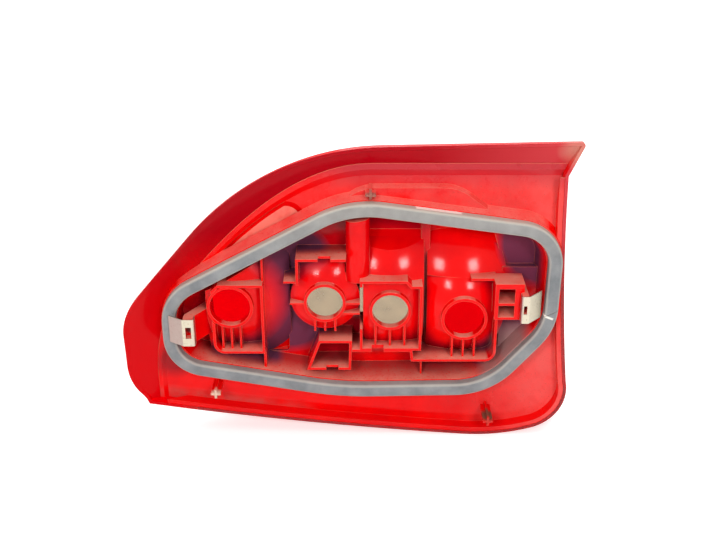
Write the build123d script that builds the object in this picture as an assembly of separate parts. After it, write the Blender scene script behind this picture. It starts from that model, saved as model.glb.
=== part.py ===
from build123d import *
from math import cos, radians, sin, tan
import os

# Right-hand tail light cluster in millimetres, seen from its mounting side: X to the right,
# Z up, Y from the body panel towards the lens. The gasket seals on the plane Y = 0.
os.makedirs("parts", exist_ok=True)

# Depths along Y
gasket_thickness = 9.0
plate_depth = 24.0
lip_depth = 12.0
tub_floor_depth = 34.0
tray_front_depth = 2.0
collar_depth = 5.0
reflector_depth = 10.0
rib_depth = 7.0

# Walls and clearances
lens_wall = 3.0
housing_wall = 2.4
rib_thickness = 1.8
lens_clearance = 4.0
assembly_gap = 0.1

# Lens sheet: leans back over its upper part, turns upright below and sweeps round to the left
lens_lean = 22.0
lens_top_z = 119.0
lens_bend_z = 20.0
lens_bend_radius = 265.0
lens_sweep_radius = 350.0
lens_sweep_x = 10.0
lens_sweep_angle = 48.0

# Outline of the lens seen along Y, going round from the horn at the upper right
horn_tip = (188.5, 146.0)
top_run_end = (18.0, 142.0)
shoulder = (-85.0, 115.0)
flank = (-147.5, 65.0)
flank_end = (-196.0, 9.0)
nose = (-211.3, -30.0)
cheek = (-212.0, -62.0)
nose_foot = (-199.0, -103.0)
lower_corner = (-197.0, -108.0)
bottom_middle = (-20.0, -131.3)
bottom_end = (95.0, -141.5)
heel_start = (160.0, -134.5)
heel_end = (189.0, -84.0)
side_middle = (179.5, 15.0)
horn_root = (175.0, 116.0)
horn_radius = 3.0

# Room that the untrimmed sheets and prisms reach into, beyond the lamp
lens_reach_z = horn_tip[1] + 24.0
lens_reach_x = horn_tip[0] + 24.0
near_side = -40.0
far_side = 130.0

# Clear windows in the lens, seen along Y
window_bottom_z = -68.0
window_top_z = 30.0
indicator_left_x = -64.0
window_split_x = -4.0
reversing_right_x = 56.0
window_radius = 5.0

# Gasket loop: corners of its outer edge and the rounding at each
gasket_corners = [(-11, 98.5), (175, 72.5), (174, -25), (118, -92), (-20, -94.5), (-177, -66.5), (-177, 8)]
gasket_radii = [95, 40, 60, 70, 300, 38, 45]
gasket_width = 12.0
gasket_edge_radius = 3.0
gasket_joint_gap = 0.6
gasket_joint_place = (166.0, -9.0)
gasket_joint_angle = -27.0

# Raised seat under the gasket and the tub inside it
seat_margin = 1.0
seat_draft = 12.0
tub_draft = 14.0

# Weld bead along the free flange of the lens, and the rim beside its lip
bead_width = 6.0
bead_height = 2.5
rim_width = 4.0
rim_setback = 0.6

# Long dish in the plate above the gasket's left run
dish_place = (-101.0, 43.5)
dish_angle = 38.0
dish_length = 90.0
dish_width = 25.0
dish_depth = 3.0
dish_draft = 62.0

# Arched step on the plate above the gasket's upper run
arch_corners = [(-46.0, 76.0), (2.0, 106.0), (84.0, 106.0), (118.0, 80.0)]
arch_radius = 40.0
arch_depth = 17.0

# Bulb holes: centres (x, z), radii and the collar round each
stop_center = (-116.0, -4.0)
indicator_center = (-32.0, 0.0)
reversing_center = (26.0, -8.0)
tail_center = (92.0, -16.0)
large_hole_radius = 18.0
small_hole_radius = 16.0
collar_wall = 2.6

# Parabolic reflectors
reflector_focus = 41.0
indicator_focus = 26.0
tail_focus = 28.0
tail_upper_focus = 45.0
tail_crease_z = 19.0
reflector_reach = 120.0
reversing_brow_z = 43.0
reversing_brow_slope = 55.0

# Reflector cells, as distances from their bulb holes: left, right, down, up
stop_cell_reach = (22.0, 52.0, 62.0, 46.0)
reversing_cell_reach = (24.0, 30.0, 36.0, 90.0)
tail_cell_reach = (33.0, 28.0, 40.0, 96.0)
tail_cell_slope = (44.0, 20.0, 22.0)
indicator_cup_radius = 31.0
cell_radius = 6.0
skirt_bottom_z = -74.0

# Trays in front of the cells, as distances from their bulb holes: left, right, down, up
stop_tray_reach = (16.0, 30.0, 45.0, 23.0)
stop_tray_cut = 6.0
stop_tray_radius = 10.0
indicator_tray_reach = (25.0, 19.0, 0.0, 44.0)
indicator_tray_foot = 19.0
reversing_tray_reach = (27.0, 28.0, 38.0, 31.0)
reversing_ledge_step = (15.0, 19.0, 5.0)
tail_tray_radius = 9.0
tail_tray_top = 33.0
edge_notch_depth = 7.0
edge_notch_width = 11.0

# Ribs under each collar: distance from rib to rib
stop_rib_spacing = 8.0
indicator_rib_spacing = 9.0
reversing_rib_spacing = 13.0
tail_rib_spacing = 10.0

# Level ribs beside the indicator collar: side of the hole and height from its centre
indicator_side_ribs = [(-1, -1.5), (1, -1.5), (1, -11.4)]

# Half-round pillar between the two middle chambers, and the slot below it
pillar_x = -3.0
pillar_radius = 10.5
pillar_depth = 8.0
pillar_foot_z = 18.0
pillar_top_z = 84.0
slot_x = 0.4
slot_width = 2.8
slot_bottom_z = -24.0
slot_top_z = 17.0

# Shelf pocket below the middle chambers
pocket_corners = [(-38, -37), (-49, -67), (-9, -67), (-8, -37)]
pocket_depth = 4.0
shelf_left_x = -8.0
shelf_step_x = 45.0

# Fins on the tub floor: x range, z range and near depth
tub_fins = [
    (-88.0, -86.0, 17.0, 48.0, 11.0),
    (-88.4, -86.0, -70.0, -46.0, 12.0),
    (54.4, 55.8, -78.0, -55.0, 16.0),
    (-68.0, -56.0, 20.0, 22.0, 4.0),
]

# Raised step in the tub's right end, and the ledge between the right chamber and its bracket
step_left_x = 126.0
step_top_z = 26.0
step_depth = 26.0
ledge_left_x = 97.0
ledge_depth = 9.0

# Arms that carry the clips
arm_front = -10.6
left_tip_width = 9.0
right_tip_width = 5.4
left_arm_tip_x = -156.0
left_arm_root = (-127.0, 28.0)
left_arm_z = -21.0
right_arm_tip_x = 145.5
right_arm_z = 1.5
arm_height = 26.0
arm_web = 4.0
bracket_left_x = 117.0
bracket_front = -3.0
bracket_back = 20.0
bracket_bottom_z = -12.0
bracket_top_z = 22.5
bracket_window_width = 14.0

# Spring clips
clip_sheet = 0.8
clip_bend_radius = 1.6
clip_leg = 7.0
left_clip_reach = (13.0, 8.5)
right_clip_reach = (12.0, 12.5)
left_clip_window = (5.0, 11.0)
right_clip_window = (3.0, 8.0)
clip_pocket = 6.0

# Cross-section pegs: place (x, z) and depth of the tip
peg_span = 9.0
peg_web = 2.2
peg_places = [(-133.0, -90.5, 0.0), (117.0, -117.0, -5.0)]
broken_peg = (8.0, 101.2, 3.0)
broken_peg_slant = 35.0


def prism(face, y_near, y_far):
    """Carry a face drawn in X and Z from one depth to another."""
    return extrude(Plane.XZ.offset(-y_far) * face, amount=y_far - y_near)


def drafted(face, y_far, y_near, draft):
    """Carry a face from its far depth to a near one; a positive draft narrows it on the way."""
    return extrude(Plane.XZ.offset(-y_far) * face, amount=y_far - y_near, taper=draft)


def plan_slab(points, z_low, z_high, radius=0):
    """A slab with its corners given in X and Y."""
    face = make_face(FilletPolyline(*points, radius=radius, close=True))
    return extrude(Plane.XY.offset(z_low) * face, amount=z_high - z_low)


def arm_tip(x_low, x_high, back, z_middle, window):
    """End of an arm, rounded for the clip that bends over it, with a pocket behind the clip's window."""
    points = [(x_low, arm_front), (x_high, arm_front), (x_high, back), (x_low, back)]
    radii = [clip_bend_radius, clip_bend_radius, 0, 0]
    tip = plan_slab(points, z_middle - arm_height / 2, z_middle + arm_height / 2, radii)
    return tip - clip_window((x_low + x_high) / 2, z_middle, window)


def clip_window(x_middle, z_middle, window):
    """Room of a clip's window, from in front of the clip to the bottom of the pocket behind it."""
    width, height = window
    return box(x_middle - width / 2, x_middle + width / 2, near_side, arm_front + clip_pocket,
               z_middle - height / 2, z_middle + height / 2)


def rectangle(x_low, x_high, z_low, z_high, radius=0.0):
    """A rectangle in X and Z between two corners."""
    place = Pos((x_low + x_high) / 2, (z_low + z_high) / 2)
    if radius:
        return place * RectangleRounded(x_high - x_low, z_high - z_low, radius)
    return place * Rectangle(x_high - x_low, z_high - z_low)


def box(x_low, x_high, y_low, y_high, z_low, z_high):
    """A block between two corners."""
    return prism(rectangle(x_low, x_high, z_low, z_high), y_low, y_high)


def around(center, reach, radius=0.0):
    """A rectangle about a bulb hole, from its reach to the left, right, down and up."""
    x, z = center
    left, right, down, up = reach
    return rectangle(x - left, x + right, z - down, z + up, radius)


def inset(face, amount):
    """The same face with its edge moved inwards."""
    return offset(face, amount=-amount, kind=Kind.INTERSECTION)


def wall_of(face):
    """The band just inside a face's edge, one wall thick."""
    return face - inset(face, housing_wall)


def lens_profile(shift):
    """Points of the lens section in Y and Z, moved outwards by shift from its inner face."""
    lean = radians(lens_lean)
    straight_end_y = plate_depth + (lens_top_z - lens_bend_z) * tan(lean)
    bend_y = straight_end_y - lens_bend_radius * cos(lean)
    bend_z = lens_bend_z - lens_bend_radius * sin(lean)
    radius = lens_bend_radius + shift
    start_y = bend_y + radius * cos(lean)
    start_z = bend_z + radius * sin(lean)
    top = (start_y - (lens_reach_z - start_z) * tan(lean), lens_reach_z)
    middle = (bend_y + radius * cos(lean / 2), bend_z + radius * sin(lean / 2))
    foot = (bend_y + radius, bend_z)
    bottom = (bend_y + radius, -lens_reach_z)
    return top, (start_y, start_z), middle, foot, bottom


def lens_edge(shift):
    """The lens section as three joined edges, from top to bottom."""
    top, start, middle, foot, bottom = lens_profile(shift)
    return [Line(top, start), ThreePointArc(start, middle, foot), Line(foot, bottom)]


def lens_sweep(section):
    """Carry a section straight to the right and round to the left, as the lens runs."""
    placed = Plane.YZ.offset(lens_sweep_x) * section
    front = lens_profile(0)[3][0]
    axis = Axis((lens_sweep_x, front - lens_sweep_radius, 0), (0, 0, 1))
    straight = extrude(placed, amount=lens_reach_x - lens_sweep_x)
    return straight + revolve(placed, axis=axis, revolution_arc=lens_sweep_angle)


def lens_sheet():
    """The curved sheet of the lens, untrimmed."""
    inner, outer = lens_profile(0), lens_profile(lens_wall)
    edges = lens_edge(0) + lens_edge(lens_wall)
    edges += [Line(inner[0], outer[0]), Line(inner[-1], outer[-1])]
    return lens_sweep(make_face(Curve() + edges))


def behind_lens(shift):
    """All the room on the panel side of the lens's inner face moved by shift."""
    profile = lens_profile(shift)
    near_top, near_bottom = (near_side, lens_reach_z), (near_side, -lens_reach_z)
    edges = lens_edge(shift)
    edges += [Line(profile[0], near_top), Line(near_top, near_bottom), Line(near_bottom, profile[-1])]
    return lens_sweep(make_face(Curve() + edges))


def lens_outline():
    """The lens seen along Y."""
    edges = [Line(horn_tip, top_run_end)]
    for point in (shoulder, flank, flank_end, nose, cheek, nose_foot):
        edges.append(TangentArc(edges[-1] @ 1, point, tangent=edges[-1] % 1))
    edges.append(Line(nose_foot, lower_corner))
    edges.append(ThreePointArc(lower_corner, bottom_middle, bottom_end))
    for point in (heel_start, heel_end):
        edges.append(TangentArc(edges[-1] @ 1, point, tangent=edges[-1] % 1))
    edges.append(ThreePointArc(heel_end, side_middle, horn_root))
    edges.append(Line(horn_root, horn_tip))
    face = make_face(Curve() + edges)
    return fillet(face.vertices().sort_by_distance(Vector(*horn_tip))[0], horn_radius)


def window_outlines():
    """The indicator and reversing windows seen along Y."""
    left = rectangle(indicator_left_x, window_split_x, window_bottom_z, window_top_z, window_radius)
    right = rectangle(window_split_x, reversing_right_x, window_bottom_z, window_top_z, window_radius)
    return left, right


def make_lens(sheet, outline):
    """Red outer lens: curved sheet, lip along the bottom and right, two window openings."""
    rim = prism(outline - inset(outline, lens_wall), lip_depth, far_side) & behind_lens(lens_wall / 2)
    lens = (sheet & prism(outline, near_side, far_side)) + rim
    return lens - [prism(window, near_side, far_side) for window in window_outlines()]


def make_window(sheet, window):
    """Clear window that fills its opening in the lens."""
    return sheet & prism(inset(window, assembly_gap), near_side, far_side)


def gasket_outline():
    """Outer edge of the gasket loop."""
    return make_face(FilletPolyline(*gasket_corners, radius=gasket_radii, close=True))


def make_gasket():
    """Foam loop with rounded edges towards the panel and a butt joint at the right."""
    outer = gasket_outline()
    loop = prism(outer - inset(outer, gasket_width), 0, gasket_thickness)
    near_edges = loop.edges().filter_by(lambda edge: abs(edge.center().Y) < gasket_joint_gap)
    loop = fillet(near_edges, gasket_edge_radius)
    joint = Pos(gasket_joint_place[0], 0, gasket_joint_place[1]) * Rot(0, gasket_joint_angle, 0)
    return loop - joint * Box(3 * gasket_width, 3 * gasket_thickness, gasket_joint_gap)


def tub_floor():
    """Edge of the tub's floor, drawn in from its mouth by the draft of its walls."""
    draft = (tub_floor_depth - gasket_thickness) * tan(radians(tub_draft))
    return inset(gasket_outline(), gasket_width + seat_margin + draft)


def plate_edges(outline):
    """Weld bead along the lens's flange, and the rim that stands beside its lip."""
    plate_back = plate_depth + housing_wall
    bead_shift = bead_width * sin(radians(lens_lean))
    bead = prism(outline, plate_depth - bead_height, plate_back) - behind_lens(-bead_shift)
    rim = prism(outline - inset(outline, rim_width), lip_depth + rim_setback, plate_back)
    return bead + (rim & behind_lens(lip_depth - plate_depth))


def dish():
    """Skin and hollow of the long dish in the plate."""
    slot = Pos(*dish_place) * Rot(0, 0, dish_angle) * SlotCenterToCenter(dish_length, dish_width)
    pad_depth = plate_depth + dish_depth
    skin = drafted(offset(slot, amount=housing_wall), pad_depth + housing_wall, plate_depth, -dish_draft)
    hollow = drafted(slot, pad_depth, plate_depth, -dish_draft)
    return skin, hollow & behind_lens(-assembly_gap - housing_wall / 2)


def arch():
    """Arched step above the gasket, and the room inside it."""
    face = make_face(FilletPolyline(*arch_corners, radius=[0, arch_radius, arch_radius, 0], close=True))
    plate_back = plate_depth + housing_wall
    step = drafted(face, plate_back, arch_depth, seat_draft)
    room = drafted(inset(face, housing_wall), plate_back, arch_depth + housing_wall, seat_draft)
    return step, room


def tub():
    """Drafted tub inside the gasket: its skin and its hollow, less the step at the right end."""
    floor = tub_floor()
    skin = drafted(offset(floor, amount=housing_wall), tub_floor_depth + housing_wall,
                   gasket_thickness, -tub_draft)
    hollow = drafted(floor, tub_floor_depth, gasket_thickness - housing_wall, -tub_draft)
    step = box(step_left_x, lens_reach_x, step_depth, far_side, -lens_reach_z, step_top_z)
    step_room = box(step_left_x + housing_wall, lens_reach_x, step_depth + housing_wall, far_side,
                    -lens_reach_z, step_top_z - housing_wall)
    step_room &= prism(floor, near_side, far_side)
    hollow = (hollow - step) & behind_lens(-lens_clearance - housing_wall)
    return skin & behind_lens(-lens_clearance), [hollow, step_room]


def make_shell(outline):
    """Back plate with its edges, dish and arch, gasket tower and drafted tub, before the chambers."""
    seat = offset(gasket_outline(), amount=seat_margin)
    foot = offset(seat, amount=(plate_depth - gasket_thickness) * tan(radians(seat_draft)))
    hollow = inset(foot, housing_wall)
    fit = inset(outline, lens_wall + assembly_gap)
    plate = prism(fit - hollow, plate_depth, plate_depth + housing_wall)
    dish_skin, dish_hollow = dish()
    plate = plate + [plate_edges(fit), dish_skin - prism(hollow, near_side, far_side)] - dish_hollow
    tower = drafted(foot, plate_depth, gasket_thickness, seat_draft)
    tower_room = drafted(hollow, plate_depth, gasket_thickness + housing_wall, seat_draft)
    arch_step, arch_room = arch()
    shell = plate + [tower, arch_step] - [tower_room, arch_room - tower]
    shell = shell & behind_lens(-assembly_gap) & prism(fit, near_side, far_side)
    tub_skin, tub_rooms = tub()
    return shell + tub_skin - tub_rooms


def paraboloid(center, vertex, focus):
    """All the room on the lens side of a parabolic reflector about an axis along Y."""
    edge = vertex + reflector_reach**2 / (4 * focus)
    curve = Bezier((0, vertex), (reflector_reach / 2, vertex), (reflector_reach, edge))
    sides = Polyline((reflector_reach, edge), (reflector_reach, far_side), (0, far_side), (0, vertex))
    plane = Plane(origin=(center[0], 0, center[1]), x_dir=(1, 0, 0), z_dir=(0, 0, 1))
    return revolve(plane * make_face(curve + sides), axis=Axis(plane.origin, (0, 1, 0)))


def vertex_depth(hole_radius, focus):
    """Depth of a reflector's vertex when its bulb hole's edge is at the common depth."""
    return reflector_depth - hole_radius**2 / (4 * focus)


def stop_reflector(shift):
    """Plain paraboloid, moved towards the lens by shift."""
    vertex = vertex_depth(large_hole_radius, reflector_focus) + shift
    return paraboloid(stop_center, vertex, reflector_focus)


def indicator_reflector(shift):
    """Deeper paraboloid of the round cup, moved towards the lens by shift."""
    vertex = vertex_depth(small_hole_radius, indicator_focus) + shift
    return paraboloid(indicator_center, vertex, indicator_focus)


def reversing_reflector(shift):
    """Paraboloid under a slanting brow, moved towards the lens by shift."""
    x, z = reversing_center
    vertex = vertex_depth(small_hole_radius, reflector_focus) + shift
    brow_depth = vertex + (reversing_brow_z - z)**2 / (4 * reflector_focus)
    rise = lens_reach_z - reversing_brow_z
    brow_end = brow_depth + rise * tan(radians(reversing_brow_slope))
    corners = [(near_side, reversing_brow_z), (brow_depth, reversing_brow_z), (brow_end, lens_reach_z),
               (near_side, lens_reach_z)]
    section = make_face(Polyline(*corners, close=True))
    brow = extrude(Plane.YZ.offset(x - reflector_reach) * section, amount=2 * reflector_reach)
    return paraboloid(reversing_center, vertex, reflector_focus) - brow


def tail_reflector(shift):
    """Two paraboloids that meet in a level crease, moved towards the lens by shift."""
    x, z = tail_center
    vertex = vertex_depth(large_hole_radius, tail_focus) + shift
    rise = (tail_crease_z - z)**2 / 4
    upper_vertex = vertex + rise / tail_focus - rise / tail_upper_focus
    above = box(x - reflector_reach, x + reflector_reach, near_side, far_side,
                tail_crease_z + shift, lens_reach_z)
    lower = paraboloid(tail_center, vertex, tail_focus) - above
    return lower + (paraboloid(tail_center, upper_vertex, tail_upper_focus) & above)


def indicator_cell():
    """Round cup round the indicator hole, square above it behind the tray's walls."""
    upper = inset(around(indicator_center, indicator_tray_reach), housing_wall / 2)
    return Pos(*indicator_center) * Circle(indicator_cup_radius) + upper


def tail_cell():
    """Cell of the right bulb hole, with a slanting right side."""
    x, z = tail_center
    left, right, down, up = tail_cell_reach
    bulge_right, bulge_up, top_right = tail_cell_slope
    corners = [(x - left, z - down), (x + right, z - down), (x + bulge_right, z + bulge_up),
               (x + top_right, z + up), (x - left, z + up)]
    return make_face(FilletPolyline(*corners, radius=cell_radius, close=True))


def chambers():
    """Bulb hole centre, hole radius, cell outline and reflector of each chamber."""
    stop_cell = around(stop_center, stop_cell_reach, cell_radius)
    reversing_cell = around(reversing_center, reversing_cell_reach, cell_radius)
    return [
        (stop_center, large_hole_radius, stop_cell, stop_reflector),
        (indicator_center, small_hole_radius, indicator_cell(), indicator_reflector),
        (reversing_center, small_hole_radius, reversing_cell, reversing_reflector),
        (tail_center, large_hole_radius, tail_cell(), tail_reflector),
    ]


def skirts():
    """Lower ends of the three deep chambers, which reach further down behind the tub's floor."""
    cup = indicator_cup_radius
    sides = [(indicator_center, cup, cup), (reversing_center, *reversing_cell_reach[:2]),
             (tail_center, *tail_cell_reach[:2])]
    return [rectangle(x - left, x + right, skirt_bottom_z, z) for (x, z), left, right in sides]


def stop_tray():
    """Tray round the left bulb hole, with a cut corner and a rounded one."""
    x, z = stop_center
    left, right, down, up = stop_tray_reach
    corners = [(x - left, z + up - stop_tray_cut), (x - left + stop_tray_cut, z + up), (x + right, z + up),
               (x + right, z - down), (x - left, z - down)]
    return wall_of(make_face(FilletPolyline(*corners, radius=[1, 1, 1, 1, stop_tray_radius], close=True)))


def indicator_tray():
    """Three walls above the indicator hole."""
    x, z = indicator_center
    left, right, down, up = indicator_tray_reach
    half = housing_wall / 2
    path = Polyline((x - left + half, z + indicator_tray_foot), (x - left + half, z + up - half),
                    (x + right, z + up - half))
    return trace(path, housing_wall)


def reversing_tray():
    """Tray round the reversing hole; its upper ledge steps down at the right."""
    x, z = reversing_center
    left, right, down, up = reversing_tray_reach
    step_from, step_to, step_drop = reversing_ledge_step
    corners = [(x - left, z - down), (x + right, z - down), (x + right, z + up - step_drop),
               (x + step_to, z + up - step_drop), (x + step_from, z + up), (x - left, z + up)]
    return wall_of(make_face(Polyline(*corners, close=True)))


def tail_tray():
    """Shelf under the middle and right chambers, turning up into the right-hand wall."""
    half = housing_wall / 2
    shelf_z = reversing_center[1] - reversing_tray_reach[2]
    low_z = tail_center[1] - tail_cell_reach[2]
    wall_x = tail_center[0] + tail_cell_reach[1]
    points = [(shelf_left_x, shelf_z), (shelf_step_x, shelf_z), (shelf_step_x + half, low_z),
              (wall_x, low_z), (wall_x, tail_center[1] + tail_tray_top)]
    return trace(FilletPolyline(*points, radius=[0, 0, tail_tray_radius]), housing_wall)


def rib_row(center, spacing, reach_down):
    """Three upright ribs from a collar down to the wall below it."""
    x, z = center
    half = rib_thickness / 2
    return [box(x + place - half, x + place + half, rib_depth, tub_floor_depth, z - reach_down, z)
            for place in (-spacing, 0, spacing)]


def side_ribs():
    """Level ribs from the indicator's collar out to its cup."""
    x, z = indicator_center
    half = rib_thickness / 2
    ribs = []
    for side, height in indicator_side_ribs:
        x_low, x_high = sorted((x + side * small_hole_radius, x + side * indicator_cup_radius))
        ribs.append(box(x_low, x_high, rib_depth, tub_floor_depth, z + height - half, z + height + half))
    return ribs


def pillar():
    """Half-round pillar, hollow towards the lens."""
    axis_depth = pillar_depth + pillar_radius
    nose_face = Pos(pillar_x, axis_depth) * Circle(pillar_radius)
    back = Pos(pillar_x, (axis_depth + far_side) / 2) * Rectangle(2 * pillar_radius, far_side - axis_depth)
    section = nose_face + back
    height = pillar_top_z - pillar_foot_z
    outer = extrude(Plane.XY.offset(pillar_foot_z) * section, amount=height)
    hollow_foot = Plane.XY.offset(pillar_foot_z + housing_wall)
    inner = extrude(hollow_foot * inset(section, housing_wall), amount=height)
    return outer, inner


def notch(x, z):
    """A bite out of the front edge of a level wall."""
    half = edge_notch_width / 2
    return box(x - half, x + half, near_side, tray_front_depth + edge_notch_depth,
               z - 2 * housing_wall, z + 2 * housing_wall)


def left_arm():
    """Slanting web with two gussets, out to the left clip."""
    root_x, root_depth = left_arm_root
    inner_x = left_arm_tip_x + left_tip_width
    z_low, z_high = left_arm_z - arm_height / 2, left_arm_z + arm_height / 2
    pad = arm_front + clip_leg + housing_wall
    tip = arm_tip(left_arm_tip_x, inner_x, pad, left_arm_z, left_clip_window)
    web = plan_slab([(inner_x, pad - housing_wall), (root_x, root_depth), (root_x - arm_web, root_depth),
                     (inner_x - arm_web, pad)], z_low, z_high)
    gusset = [(left_arm_tip_x, pad), (inner_x, pad), (root_x - arm_web, root_depth),
              (root_x - 3 * arm_web, root_depth)]
    plates = [plan_slab(gusset, z, z + housing_wall) for z in (z_low, z_high - housing_wall)]
    return tip + [web, *plates]


def right_bracket():
    """Box with two windows beside the right tray, ending in the post of the right clip."""
    post_x = right_arm_tip_x - right_tip_width
    post = arm_tip(post_x, right_arm_tip_x, bracket_back, right_arm_z, right_clip_window)
    outer = box(bracket_left_x, post_x + housing_wall, bracket_front, bracket_back,
                bracket_bottom_z, bracket_top_z)
    room_x = (bracket_left_x + housing_wall, post_x)
    middle_z = (bracket_bottom_z + bracket_top_z) / 2 - housing_wall
    levels = [(bracket_bottom_z + housing_wall, middle_z - housing_wall / 2),
              (middle_z + housing_wall / 2, bracket_top_z - 2 * housing_wall)]
    window_x = (room_x[0] + 1, room_x[0] + 1 + bracket_window_width)
    for low, high in levels:
        outer -= box(*room_x, bracket_front + housing_wall, far_side, low, high)
        outer -= box(*window_x, near_side, bracket_back, low, high)
    return outer + post


def make_pegs():
    """Pegs of cross section on the plate; the upper one is broken off short."""
    cross = Rectangle(peg_span, peg_web) + Rectangle(peg_web, peg_span)
    root = plate_depth + housing_wall / 2
    pegs = [prism(Pos(x, z) * cross, tip, root) for x, z, tip in peg_places]
    x, z, tip = broken_peg
    stump = prism(Pos(x, z) * cross, tip - peg_span / 2, root)
    cutter = Rot(broken_peg_slant, 0, 0) * Box(3 * peg_span, 2 * peg_span, 6 * peg_span)
    return pegs + [stump - Pos(x, tip - peg_span, z) * cutter]


def make_housing(outline):
    """Red rear moulding: shell, chambers, trays, ribs, pillar, arms and pegs in one piece."""
    floor = tub_floor()
    inside = prism(floor, near_side, far_side)
    footing = prism(offset(floor, amount=housing_wall / 2), near_side, far_side)
    tub_back = behind_lens(-lens_clearance - housing_wall) & prism(floor, tub_floor_depth, far_side)
    rooms = []
    solids = []
    for center, hole_radius, cell, reflector_room in chambers():
        reflector = reflector_room(0)
        solids.append(prism(cell, near_side, far_side) & reflector & footing)
        solids.append(prism(cell, tub_floor_depth, far_side) & footing)
        hollow = prism(inset(cell, housing_wall), near_side, far_side) & inside
        rooms.append(hollow & reflector_room(housing_wall))
        rooms.append((hollow & tub_back) - reflector)
        ring = Pos(*center) * Circle(hole_radius + collar_wall)
        solids.append(prism(ring, collar_depth, reflector_depth + housing_wall))
        rooms.append(prism(ring, near_side, collar_depth))
        rooms.append(prism(Pos(*center) * Circle(hole_radius), near_side, reflector_depth + 2 * housing_wall))
    for skirt in skirts():
        solids.append(prism(skirt, tub_floor_depth, far_side))
        rooms.append(prism(inset(skirt, housing_wall), tub_floor_depth + housing_wall, far_side))
    for tray in (stop_tray(), indicator_tray(), reversing_tray(), tail_tray()):
        solids.append(prism(tray, tray_front_depth, tub_floor_depth + housing_wall / 2))
    pocket = wall_of(make_face(Polyline(*pocket_corners, close=True)))
    solids.append(prism(pocket, pocket_depth, tub_floor_depth + housing_wall / 2))
    solids += rib_row(stop_center, stop_rib_spacing, stop_tray_reach[2] - housing_wall / 2)
    solids += rib_row(indicator_center, indicator_rib_spacing, indicator_cup_radius - housing_wall)
    solids += side_ribs()
    solids += rib_row(reversing_center, reversing_rib_spacing, reversing_tray_reach[2] - housing_wall / 2)
    solids += rib_row(tail_center, tail_rib_spacing, tail_cell_reach[2] - housing_wall / 2)
    for x_low, x_high, z_low, z_high, near in tub_fins:
        solids.append(box(x_low, x_high, near, tub_floor_depth + housing_wall / 2, z_low, z_high))
    solids.append(box(ledge_left_x, bracket_left_x + housing_wall, ledge_depth, tub_floor_depth,
                      bracket_top_z - housing_wall, bracket_top_z))
    post, post_hollow = pillar()
    solids.append(post & footing)
    rooms.append(post_hollow & inside)
    interior = (Part() + solids) & behind_lens(-lens_clearance)
    housing = make_shell(outline) + [interior, left_arm(), right_bracket(), *make_pegs()]
    rooms.append(box(slot_x - slot_width / 2, slot_x + slot_width / 2, near_side, far_side,
                     slot_bottom_z, slot_top_z))
    rooms.append(notch(indicator_center[0], indicator_center[1] + indicator_tray_reach[3]))
    rooms.append(notch(reversing_center[0] - edge_notch_width, reversing_center[1] - reversing_tray_reach[2]))
    rooms.append(notch(sum(x for x, z in pocket_corners) / 4, pocket_corners[1][1]))
    return housing - rooms


def bent_strip(points, z_middle):
    """Spring-steel strip that follows a path drawn in X and Y."""
    path = FilletPolyline(*points, radius=clip_bend_radius)
    strip = trace(path, clip_sheet)
    return extrude(Plane.XY.offset(z_middle - arm_height / 2) * strip, amount=arm_height)


def make_clip(tip_x, width, reach, z_middle, side, window):
    """Barb bent over an arm's end: a leg inside, the bend in front and a leaf slanting out."""
    clear = assembly_gap + clip_sheet / 2
    front = arm_front - clear
    inner_x = tip_x - side * (width + clear)
    outer_x = tip_x + side * clear
    leaf_end = (outer_x + side * reach[0], front + reach[1])
    points = [(inner_x, front + clip_leg), (inner_x, front), (outer_x, front), leaf_end]
    return bent_strip(points, z_middle) - clip_window(tip_x - side * width / 2, z_middle, window)


lamp_outline = lens_outline()
sheet_part = lens_sheet()
indicator_outline, reversing_outline = window_outlines()
pieces = {
    "rear_housing": make_housing(lamp_outline),
    "red_lens": make_lens(sheet_part, lamp_outline),
    "indicator_window": make_window(sheet_part, indicator_outline),
    "reversing_window": make_window(sheet_part, reversing_outline),
    "body_gasket": make_gasket(),
    "left_clip": make_clip(left_arm_tip_x, left_tip_width, left_clip_reach, left_arm_z, -1,
                           left_clip_window),
    "right_clip": make_clip(right_arm_tip_x, right_tip_width, right_clip_reach, right_arm_z, 1,
                            right_clip_window),
}
for name, piece in pieces.items():
    export_step(piece, f"parts/{name}.step")
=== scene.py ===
import bpy
import bmesh
from math import radians, cos, sin
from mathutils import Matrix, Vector


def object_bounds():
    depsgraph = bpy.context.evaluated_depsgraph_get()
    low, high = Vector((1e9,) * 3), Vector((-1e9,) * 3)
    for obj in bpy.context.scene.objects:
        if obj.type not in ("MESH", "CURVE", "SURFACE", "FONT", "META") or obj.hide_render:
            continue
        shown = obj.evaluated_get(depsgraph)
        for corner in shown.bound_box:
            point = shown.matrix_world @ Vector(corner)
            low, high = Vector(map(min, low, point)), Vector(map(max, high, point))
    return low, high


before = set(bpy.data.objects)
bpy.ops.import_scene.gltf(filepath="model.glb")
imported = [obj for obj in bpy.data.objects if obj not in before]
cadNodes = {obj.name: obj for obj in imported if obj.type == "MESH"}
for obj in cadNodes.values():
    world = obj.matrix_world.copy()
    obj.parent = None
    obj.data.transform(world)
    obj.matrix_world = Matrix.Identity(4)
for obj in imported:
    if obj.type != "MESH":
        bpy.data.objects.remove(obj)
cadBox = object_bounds()
scene = bpy.context.scene
mm = 0.001
print("frame loaded:", len(cadNodes), "nodes")


def linear(hexColour):
    parts = [int(hexColour[i:i + 2], 16) / 255 for i in (0, 2, 4)]
    return [p / 12.92 if p <= 0.04045 else ((p + 0.055) / 1.055) ** 2.4 for p in parts] + [1.0]


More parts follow.
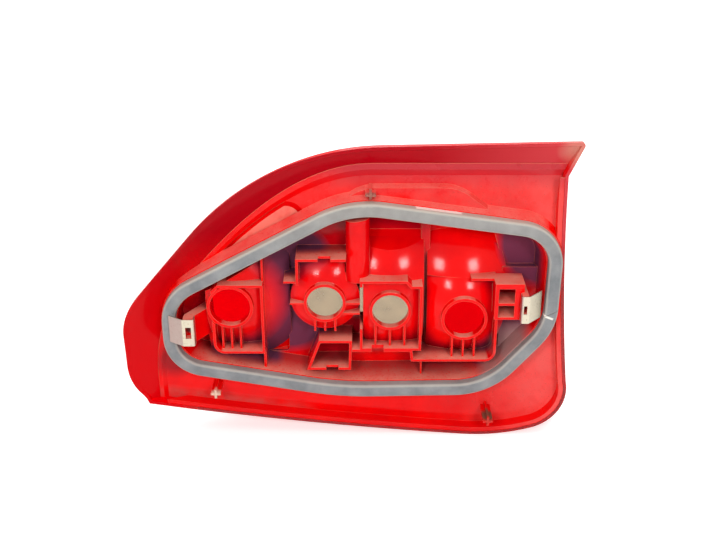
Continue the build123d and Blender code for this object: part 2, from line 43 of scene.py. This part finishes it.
# adds one node and returns an output: settings are properties or socket values, links feed its sockets.
# Map Range has its value at socket 0, its range at 1 and 2 and the ends of its result at 3 and 4;
# Mix has its factor at 0 and two colours at 6 and 7, and its colour comes out at 2
def addNode(tree, kind, settings={}, links={}, out=0):
    node = tree.nodes.new("ShaderNode" + kind)
    for key, value in settings.items():
        if isinstance(key, str) and hasattr(node, key):
            setattr(node, key, value)
        else:
            node.inputs[key].default_value = value
    for key, socket in links.items():
        tree.links.new(socket, node.inputs[key])
    return node.outputs[out]


# puts a new material on the pieces; returns its tree, its shader and what its masks can measure:
# the place in mm, the way the surface faces, and its noise patterns by name
def startMaterial(name, pieces, look):
    material = bpy.data.materials.new(name)
    material.use_nodes = True
    tree = material.node_tree
    shader = tree.nodes["Principled BSDF"]
    for key, value in look["shader"].items():
        shader.inputs[key].default_value = value
    for piece in pieces:
        cadNodes[piece].data.materials.clear()
        cadNodes[piece].data.materials.append(material)
    place = addNode(tree, "TexCoord", out="Object")
    place = addNode(tree, "VectorMath", {"operation": "SCALE", "Scale": 1 / mm}, {0: place})
    facing = addNode(tree, "NewGeometry", out="Normal")
    measures = {"place": place, "facing": facing}
    for prefix, vector in (("", place), ("face", facing)):
        parts = addNode(tree, "SeparateXYZ", {}, {0: vector}).node.outputs
        measures.update({prefix + axis: parts[axis] for axis in "XYZ"})
    for pattern, (size, detail, roughness) in look["patterns"].items():
        noise = {"Scale": 1 / size, "Detail": detail, "Roughness": roughness}
        measures[pattern] = addNode(tree, "TexNoise", noise, {"Vector": place})
    return tree, shader, measures


# adds a look's masks to the measures and lays its colours over each other, each through the mask of its name.
# a list is the largest of the masks in it, a dictionary the product of its steps: what is measured, and where
# it is none and full, or none, full, full and none for a band; least and most are the ends of the first step
def layColours(tree, measures, look):
    for name, steps in look["masks"].items():
        if isinstance(steps, list):
            mask = measures[steps[0]]
            for other in steps[1:]:
                mask = addNode(tree, "Math", {"operation": "MAXIMUM"}, {0: mask, 1: measures[other]})
        else:
            result = {3: steps.get("least", 0.0), 4: steps.get("most", 1.0)}
            before = {}
            for measure, span in steps.items():
                if measure in ("least", "most"):
                    continue
                for none, full in zip(span[::3], span[1:3]):
                    links = {0: measures[measure], **before}
                    mask = addNode(tree, "MapRange", {1: none, 2: full, **result}, links)
                    result, before = {}, {4: mask}
        measures[name] = mask
    base, below = {6: linear(look["base"])}, {}
    for name, hexColour in look["layers"].items():
        layer = {"data_type": "RGBA", 7: linear(hexColour), **base}
        colour = addNode(tree, "Mix", layer, {0: measures[name], **below}, 2)
        base, below = {}, {6: colour}
    return colour


# red ABS, injection moulded: a saturated gloss, clean inside the tub and cloudy with road dust outside,
# with beige dust on what faces up, painted dark red and purple shade with grime in the depths,
# and paler edges that are painted highlight and wear
absLook = {
    "shader": {"IOR": 1.54, "Specular IOR Level": 0.14},
    "patterns": {  # size in mm, detail, roughness; specks are coarser than real grit, so that they show
        "cloud": (48, 5, 0.6), "stain": (26, 6, 0.6), "speck": (1.6, 2, 0.6), "peel": (0.9, 1, 0.6),
    },
    "base": "e60006",
    "layers": {  # from the plastic up
        "cloudy": "fa0606", "film": "e4706a", "haze": "e8807a", "flangeShade": "b8303a", "silt": "c4605a",
        "dish": "ff8a78", "grit": "8a3c30", "outerDust": "f08a7e", "innerDust": "b46a5c",
        "ledgeDustAndLight": "f8a48e", "shade": "70001c", "grime": "52304c", "edgeHighlightAndWear": "ff8468", "mirror": "d4d5d6",
    },
    # the gasket's loop is close to an ellipse, cut off along its upper left run
    "loopHalves": (178, 90), "loopEdge": (1.0, 1.06), "runEdge": (86, 89),
    "directions": {"run": (-0.477, 0, 0.879), "upRight": (1, 0, 0.9), "foot": (0.141, 0, 0.99)},
    "places": {  # where the purple painted shade and grime gather
        "fromRightPocket": (164, 34, 48), "fromUpperPocket": (-64, 34, 26), "fromLowerPocket": (-65, 34, -22),
        "fromRightFoot": (138, 26, -50), "fromLeftFoot": (-105, 26, -58),
    },
    "outerSlope": 0.14, "nookSize": 30, "nookSamples": 12, "edgeRadius": 0.7, "edgeSamples": 6,
    "masks": {
        "cloudy": {"cloud": (0.35, 0.65)},
        # film on the plate: square to the panel, at the plate's depth, and thinner towards the lower left,
        # which leaves that part darker as painted shade
        "onPlate": {"outside": (0, 1), "faceY": (-0.93, -0.985), "Y": (15, 16.5, 28.5, 29.5)},
        "film": {
            "least": 0.06, "most": 0.36, "stain": (0.36, 0.62), "onPlate": (0, 1), "upRight": (-60, 130),
        },
        # a paler haze to the right, a band of painted shade under the flange and silt along the lower left
        # foot
        "haze": {
            "most": 0.42, "X": (90, 190), "faceY": (-0.9, -0.97), "outside": (0, 1), "cloud": (0.2, 0.6),
        },
        "flangeShade": {"most": 0.85, "Z": (98, 120), "X": (-60, -10), "faceY": (-0.8, -0.9)},
        "silt": {
            "most": 0.6, "foot": (-118, -125), "X": (-40, -80), "stain": (0.3, 0.55), "onPlate": (0, 1),
        },
        # pale dust on the floor of the long dish, and brown grit to the right
        "dish": {"most": 0.8, "Y": (26, 26.5), "onPlate": (0, 1), "stain": (0.1, 0.5)},
        "grit": {"most": 0.4, "X": (20, 120), "onPlate": (0, 1), "speck": (0.6, 0.72)},
        # dust on what faces up, broken by specks: pink on the slopes outside, browner on the ledges inside
        "dust": {
            "least": 0.25, "most": 0.65, "stain": (0.3, 0.6), "slope": (0.86, 0.97), "speck": (0.25, 0.42),
        },
        "outerDust": {"dust": (0, 1), "outside": (0, 1), "Z": (-70, 0)},
        "innerDust": {"dust": (0, 1), "outside": (1, 0)},
        # paler towards the front of the ledges inside: dust, and painted light where the tub's light is weak
        "ledgeDustAndLight": {"innerDust": (0, 1), "Y": (26, 12)},
        # painted shade, darker down the tub's walls, in its nooks and close under the gasket; shelves that
        # face up stay lit
        "inTub": {"outside": (1, 0), "Y": (37, 36)},
        "nook": {"openness": (0.55, 0.2), "Y": (6, 20)},
        "lit": {"Z": (-50, -30), "faceZ": (0.6, 0.8)},
        "wall": {"most": 0.75, "faceY": (-0.8, -0.6), "Y": (8, 32), "lit": (1, 0)},
        "nookOrWall": ["nook", "wall"],
        "tubShade": {"nookOrWall": (0, 1), "inTub": (0, 1)},
        "underGasket": {
            "outside": (1, 0), "ring": (0.5, 0.75), "X": (70, 50), "Y": (24, 34), "Z": (20, 40),
            "faceY": (-0.5, -0.8),
        },
        "darkest": ["tubShade", "underGasket"],
        "shade": {"most": 0.75, "darkest": (0, 1)},
        # purple painted shade with grime, where they gather deep in the tub
        "rightPocket": {"fromRightPocket": (46, 36.8)},
        "upperPocket": {"fromUpperPocket": (42, 33.6)},
        "lowerPocket": {"fromLowerPocket": (44, 35.2)},
        "rightFoot": {"fromRightFoot": (42, 33.6)},
        "leftFoot": {"fromLeftFoot": (36, 28.8)},
        "gathered": ["rightPocket", "upperPocket", "lowerPocket", "rightFoot", "leftFoot"],
        "grime": {"most": 0.9, "gathered": (0, 1), "inTub": (0, 1), "Y": (14, 26)},
        # pale edges, painted highlight and wear, found where the rounded normal leaves the true one, and
        # fainter down at the lip
        "edgeHighlightAndWear": {"least": 0.18, "most": 0.6, "Z": (-98, -80), "roundness": (0.985, 0.86)},
        # the two middle chambers are metallised inside, on the side that faces the lens
        "dome": {"faceY": (0.15, 0.25)},
        "sideWall": {"faceY": (-0.1, -0.05), "Y": (36.5, 36.7)},
        "lensSide": ["dome", "sideWall"],
        "leftChamber": {"lensSide": (0, 1), "X": (-61.5, -61.4, -2.5, -2.4)},
        "rightChamber": {"lensSide": (0, 1), "X": (3.2, 3.3, 54.7, 54.8)},
        "mirror": ["leftChamber", "rightChamber"],
        "dusty": ["film", "dust", "grime"],
        "roughness": {"least": 0.12, "most": 0.6, "dusty": (0, 0.4)},
    },
    "spots": [  # place, reach and colour: pegs, painted shade at the arm tips behind the clips' windows, lower right wall, painted shade on the lower left plate
        ((8, 4, 101), 9, "a8786a"), ((117, 4, -117), 11, "6e5240"), ((-133, 1, -90.5), 6, "e6c8b0"),
        ((-151.5, -5, -21), 5, "3a1214"), ((142.8, -5, 1.5), 5, "3a1214"),
        # the last of these, a darker red on the lower left plate, is painted shade
        ((141, 16, -50), 27, "a6827e"), ((122, 14, -72), 18, "b07a74"), ((-174, 24, -69), 20, "a80c18"),
    ],
    "spotCore": 0.45, "spotAmount": 0.92, "spotRagged": 8,
    "peelStrength": 0.05, "peelDepth": 0.2,
}
tree, shader, measures = startMaterial("red ABS", ["rear_housing"], absLook)
place = measures["place"]
for name, direction in absLook["directions"].items():
    along = {"operation": "DOT_PRODUCT", 1: direction}
    measures[name] = addNode(tree, "VectorMath", along, {0: place}, "Value")
for name, spot in absLook["places"].items():
    measures[name] = addNode(tree, "VectorMath", {"operation": "DISTANCE", 1: spot}, {0: place}, "Value")

# outside is 1 past the gasket's loop, where slopes that are less flat hold dust as well
halfWidth, halfHeight = absLook["loopHalves"]
loop = {"operation": "MULTIPLY", 1: (1 / halfWidth, 0, 1 / halfHeight)}
ring = addNode(tree, "VectorMath", loop, {0: place})
measures["ring"] = addNode(tree, "VectorMath", {"operation": "LENGTH"}, {0: ring}, "Value")
past = []
for name, (start, end) in (("ring", absLook["loopEdge"]), ("run", absLook["runEdge"])):
    past.append(addNode(tree, "MapRange", {1: start, 2: end}, {0: measures[name]}))
outside = addNode(tree, "Math", {"operation": "MAXIMUM"}, {0: past[0], 1: past[1]})
measures["outside"] = outside
slope = {"operation": "MULTIPLY_ADD", 1: absLook["outerSlope"]}
measures["slope"] = addNode(tree, "Math", slope, {0: outside, 2: measures["faceZ"]})

nook = {"samples": absLook["nookSamples"], "only_local": True, "Distance": absLook["nookSize"] * mm}
measures["openness"] = addNode(tree, "AmbientOcclusion", nook, out="AO")
edgeHighlightAndWear = {"samples": absLook["edgeSamples"], "Radius": absLook["edgeRadius"] * mm}
rounded = addNode(tree, "Bevel", edgeHighlightAndWear)
turned = {0: rounded, 1: measures["facing"]}
measures["roundness"] = addNode(tree, "VectorMath", {"operation": "DOT_PRODUCT"}, turned, "Value")

colour = layColours(tree, measures, absLook)
ragged = absLook["spotRagged"]
for spot, reach, hexColour in absLook["spots"]:
    away = addNode(tree, "VectorMath", {"operation": "DISTANCE", 1: spot}, {0: place}, "Value")
    stained = {0: measures["stain"], 2: away}
    away = addNode(tree, "Math", {"operation": "MULTIPLY_ADD", 1: ragged}, stained)
    rim, core = reach + ragged / 2, reach * absLook["spotCore"] + ragged / 2
    mask = addNode(tree, "MapRange", {1: rim, 2: core, 4: absLook["spotAmount"]}, {0: away})
    colour = addNode(tree, "Mix", {"data_type": "RGBA", 7: linear(hexColour)}, {0: mask, 6: colour}, 2)
tree.links.new(colour, shader.inputs["Base Color"])
tree.links.new(measures["mirror"], shader.inputs["Metallic"])
tree.links.new(measures["roughness"], shader.inputs["Roughness"])
peel = {"Strength": absLook["peelStrength"], "Distance": absLook["peelDepth"] * mm}
bump = addNode(tree, "Bump", peel, {"Height": measures["peel"], "Normal": rounded})
tree.links.new(bump, shader.inputs["Normal"])
print("red ABS done")

# red PMMA, clear and polished: light comes through it dark red; its welded lip and cut edges scatter light
pmmaLook = {
    "shader": {"IOR": 1.49, "Specular IOR Level": 0.06},
    "patterns": {"smear": (35, 5, 0.5)},
    "base": "fa000a",
    "layers": {
        "smeared": "ee0410", "leftFilm": "dc040e", "topFilm": "b00214", "rightFilm": "dc4a50",
        "hornDust": "d89c88",
    },
    "masks": {
        "smeared": {"most": 0.8, "smear": (0.35, 0.7)},
        # painted shade on the back of the free flange, darkest and nearly opaque along the top, with a paler
        # road film to the right
        "backward": {"faceY": (-0.15, -0.3)},
        "leftFilm": {"backward": (0, 1), "X": (-150, -165)},
        "topFilm": {"backward": (0, 1), "Z": (5, 65)},
        "rightFilm": {"topFilm": (0, 1), "X": (60, 220)},
        "shadedFlange": ["topFilm", "leftFilm"],
        "hornDust": {"most": 0.85, "fromHorn": (18, 0)},
        # less clear on the lip and the cut edges than through the broad sheet
        "clearness": {"least": 0.06, "most": 0.8, "broadness": (0.2, 0.4)},
        "roughness": {"least": 0.06, "most": 0.2, "smear": (0.3, 0.7)},
    },
    "shadedFlangeClearness": 0.04, "hornPlace": (182, 16, 138), "hornRagged": 10,
}
tree, shader, measures = startMaterial("red PMMA", ["red_lens"], pmmaLook)
# dust in the inner corner of the horn, with a ragged border
corner = {"operation": "DISTANCE", 1: pmmaLook["hornPlace"]}
away = addNode(tree, "VectorMath", corner, {0: measures["place"]}, "Value")
border = {"operation": "MULTIPLY_ADD", 1: pmmaLook["hornRagged"], 2: -pmmaLook["hornRagged"] / 2}
ragged = addNode(tree, "Math", border, {0: measures["smear"]})
measures["fromHorn"] = addNode(tree, "Math", {"operation": "ADD"}, {0: away, 1: ragged})
measures["broadness"] = addNode(tree, "Math", {"operation": "ABSOLUTE"}, {0: measures["faceY"]})
tree.links.new(layColours(tree, measures, pmmaLook), shader.inputs["Base Color"])
sheet = {0: measures["shadedFlange"], 3: measures["clearness"]}
clear = addNode(tree, "MapRange", {4: pmmaLook["shadedFlangeClearness"]}, sheet)
tree.links.new(clear, shader.inputs["Transmission Weight"])
tree.links.new(measures["roughness"], shader.inputs["Roughness"])
print("red PMMA done")

# clear PMMA, yellowed and grimy with age, so the pale ground behind it looks beige
clearLook = {
    "shader": {"IOR": 1.49, "Transmission Weight": 1.0},
    "patterns": {"grime": (14, 4, 0.5)},
    "base": "bca88c",
    "layers": {"grime": "988a78"},
    "masks": {"roughness": {"least": 0.1, "most": 0.3, "grime": (0.3, 0.7)}},
}
tree, shader, measures = startMaterial("clear PMMA", ["indicator_window", "reversing_window"], clearLook)
tree.links.new(layColours(tree, measures, clearLook), shader.inputs["Base Color"])
tree.links.new(measures["roughness"], shader.inputs["Roughness"])
print("clear PMMA done")

# EPDM foam, closed cell: dull grey with a fine pitted skin, paler where dust lies on it,
# and scraps of its white backing paper left on the upper run and at the butt joint
foamLook = {
    "shader": {"Roughness": 0.85, "Specular IOR Level": 0.3},
    "patterns": {"blotch": (22, 6, 0.6)},
    "base": "7c7f82",
    "layers": {
        "blotchy": "9c9d9e", "dust": "c0b5a6", "foamEdgeHighlight": "d0cabe", "liner": "f0ece2", "scrap": "f0ece2",
    },
    "masks": {
        "blotchy": {"blotch": (0.35, 0.7)},
        "upward": {"least": 0.25, "most": 0.8, "Z": (-40, 40), "faceZ": (0.1, 0.8)},
        "upperRun": {"most": 0.3, "Z": (40, 90)},
        "dust": ["upward", "upperRun"],
        # painted highlight, paler along the rounded edges
        "foamEdgeHighlight": {"most": 0.4, "faceY": (-0.96, -0.8, -0.5, -0.2)},
        # paper with torn ends on the upper run, and a sliver of 2.4 by 13 mm at the joint
        "liner": {"faceZ": (0.85, 0.9), "Y": (3.6, 4.2), "Z": (50, 60), "tornX": (45, 47, 84, 86)},
        "scrap": {"fromMiddle": (1.2, 0.72), "fromScrap": (6.5, 5.85)},
    },
    "tornDepth": 14, "scrapPlace": (164, 0, -11), "scrapAcross": (0.37, 0, 0.93),
    "cellSize": 1.1, "cellStrength": 0.5, "cellDepth": 0.3,  # coarser than real cells, so that they show
}
tree, shader, measures = startMaterial("EPDM foam", ["body_gasket"], foamLook)
tear = {"operation": "MULTIPLY_ADD", 1: foamLook["tornDepth"], 2: -foamLook["tornDepth"] / 2}
torn = addNode(tree, "Math", tear, {0: measures["blotch"]})
measures["tornX"] = addNode(tree, "Math", {"operation": "ADD"}, {0: torn, 1: measures["X"]})
centre = {"operation": "SUBTRACT", 1: foamLook["scrapPlace"]}
away = addNode(tree, "VectorMath", centre, {0: measures["place"]})
measures["fromScrap"] = addNode(tree, "VectorMath", {"operation": "LENGTH"}, {0: away}, "Value")
crosswise = {"operation": "DOT_PRODUCT", 1: foamLook["scrapAcross"]}
across = addNode(tree, "VectorMath", crosswise, {0: away}, "Value")
measures["fromMiddle"] = addNode(tree, "Math", {"operation": "ABSOLUTE"}, {0: across})
tree.links.new(layColours(tree, measures, foamLook), shader.inputs["Base Color"])
cells = addNode(tree, "TexVoronoi", {"Scale": 1 / foamLook["cellSize"]}, {"Vector": measures["place"]})
pits = {"Strength": foamLook["cellStrength"], "Distance": foamLook["cellDepth"] * mm}
tree.links.new(addNode(tree, "Bump", pits, {"Height": cells}), shader.inputs["Normal"])
print("EPDM foam done")

# spring steel, pale plated: soft broad reflections, a dull pinkish painted shade on the left leaf, brown
# specks
steelLook = {
    "shader": {"Metallic": 1.0},
    "patterns": {"roll": (3, 4, 0.5), "rust": (1.4, 3, 0.5)},
    "base": "c8bfab",
    "layers": {"speck": "7a5c40", "film": "a58f8c"},
    "masks": {
        "speck": {"most": 0.7, "rust": (0.62, 0.7)},
        # painted shade, tinted pink, on what faces to the left
        "film": {"most": 0.8, "faceX": (-0.2, -0.5)},
        "roughness": {"least": 0.32, "most": 0.5, "roll": (0.3, 0.7)},
    },
}
tree, shader, measures = startMaterial("spring steel", ["left_clip", "right_clip"], steelLook)
tree.links.new(layColours(tree, measures, steelLook), shader.inputs["Base Color"])
tree.links.new(measures["roughness"], shader.inputs["Roughness"])
print("spring steel done")

# camera at the photograph's angle, image 722 x 542
view = {"target": (0, 0, 0.034), "distance": 0.9, "elevation": 25, "lens": 51.9, "sensor": 36}
camera = bpy.data.objects.new("camera", bpy.data.cameras.new("camera"))
camera.data.lens = view["lens"]
camera.data.sensor_width = view["sensor"]
tilt = radians(view["elevation"])
camera.location = Vector(view["target"]) - view["distance"] * Vector((0, cos(tilt), -sin(tilt)))
camera.rotation_euler = (radians(90) - tilt, 0, 0)
scene.collection.objects.link(camera)
scene.camera = camera
scene.view_settings.view_transform = "Standard"

# two softboxes beside the camera, a wide one overhead and one behind for the lens
studio = {
    "leftSoftbox": {"azimuth": -21, "elevation": 27, "distance": 1.5, "size": 0.24, "power": 6.7},
    "rightSoftbox": {"azimuth": 21, "elevation": 27, "distance": 1.5, "size": 0.24, "power": 6.7},
    "overhead": {"azimuth": 0, "elevation": 72, "distance": 1.6, "size": 1.3, "power": 9},
    "behind": {"azimuth": 160, "elevation": 50, "distance": 1.6, "size": 1.8, "power": 18},
}
for name, lamp in studio.items():
    light = bpy.data.lights.new(name, "AREA")
    light.size = lamp["size"]
    light.energy = lamp["power"]
    turn, rise = radians(lamp["azimuth"]), radians(lamp["elevation"])
    toLamp = Vector((sin(turn) * cos(rise), -cos(turn) * cos(rise), sin(rise)))
    holder = bpy.data.objects.new(name, light)
    holder.location = Vector(view["target"]) + lamp["distance"] * toLamp
    holder.rotation_euler = toLamp.to_track_quat("Z", "Y").to_euler()
    scene.collection.objects.link(holder)
print("camera and lamps done")

# white paper floor: it keeps the shadow and is lifted to white where it is seen
paper = {"size": 8, "colour": "f4f4f2", "roughness": 0.9, "lift": (0.5, 1.0), "near": 0.5, "far": 1.6}
floorMesh = bpy.data.meshes.new("floor")
bm = bmesh.new()
bmesh.ops.create_grid(bm, x_segments=1, y_segments=1, size=paper["size"])
bmesh.ops.translate(bm, verts=bm.verts, vec=(0, 0, cadBox[0][2]))
bm.to_mesh(floorMesh)
bm.free()
floor = bpy.data.objects.new("floor", floorMesh)
scene.collection.objects.link(floor)
paperMaterial = bpy.data.materials.new("white paper")
paperMaterial.use_nodes = True
floorMesh.materials.append(paperMaterial)

# white room: full white where it is seen, softer where it lights the part
room = {"seen": 1.0, "lighting": 0.25}
world = bpy.data.worlds.new("white room")
world.use_nodes = True
scene.world = world

# seen means by the camera, in a mirror or through glass
seen = []
for tree in (world.node_tree, paperMaterial.node_tree):
    ray = addNode(tree, "LightPath").node.outputs
    shown = ray["Is Camera Ray"]
    for kind in ("Is Glossy Ray", "Is Transmission Ray"):
        shown = addNode(tree, "Math", {"operation": "MAXIMUM"}, {0: shown, 1: ray[kind]})
    seen.append(shown)
roomSeen, paperSeen = seen

tree = world.node_tree
background = tree.nodes["Background"]
background.inputs["Color"].default_value = (1, 1, 1, 1)
strength = addNode(tree, "MapRange", {3: room["lighting"], 4: room["seen"]}, {0: roomSeen})
tree.links.new(strength, background.inputs["Strength"])

# the paper is lifted more further out, where no lamp reaches it
tree = paperMaterial.node_tree
shader = tree.nodes["Principled BSDF"]
shader.inputs["Base Color"].default_value = linear(paper["colour"])
shader.inputs["Roughness"].default_value = paper["roughness"]
shader.inputs["Emission Color"].default_value = (1, 1, 1, 1)
place = addNode(tree, "TexCoord", out="Object")
spread = addNode(tree, "VectorMath", {"operation": "LENGTH"}, {0: place}, "Value")
nearLift, farLift = paper["lift"]
lift = addNode(tree, "MapRange", {1: paper["near"], 2: paper["far"], 3: nearLift, 4: farLift}, {0: spread})
tree.links.new(addNode(tree, "MapRange", {}, {0: paperSeen, 4: lift}), shader.inputs["Emission Strength"])
print("studio done")
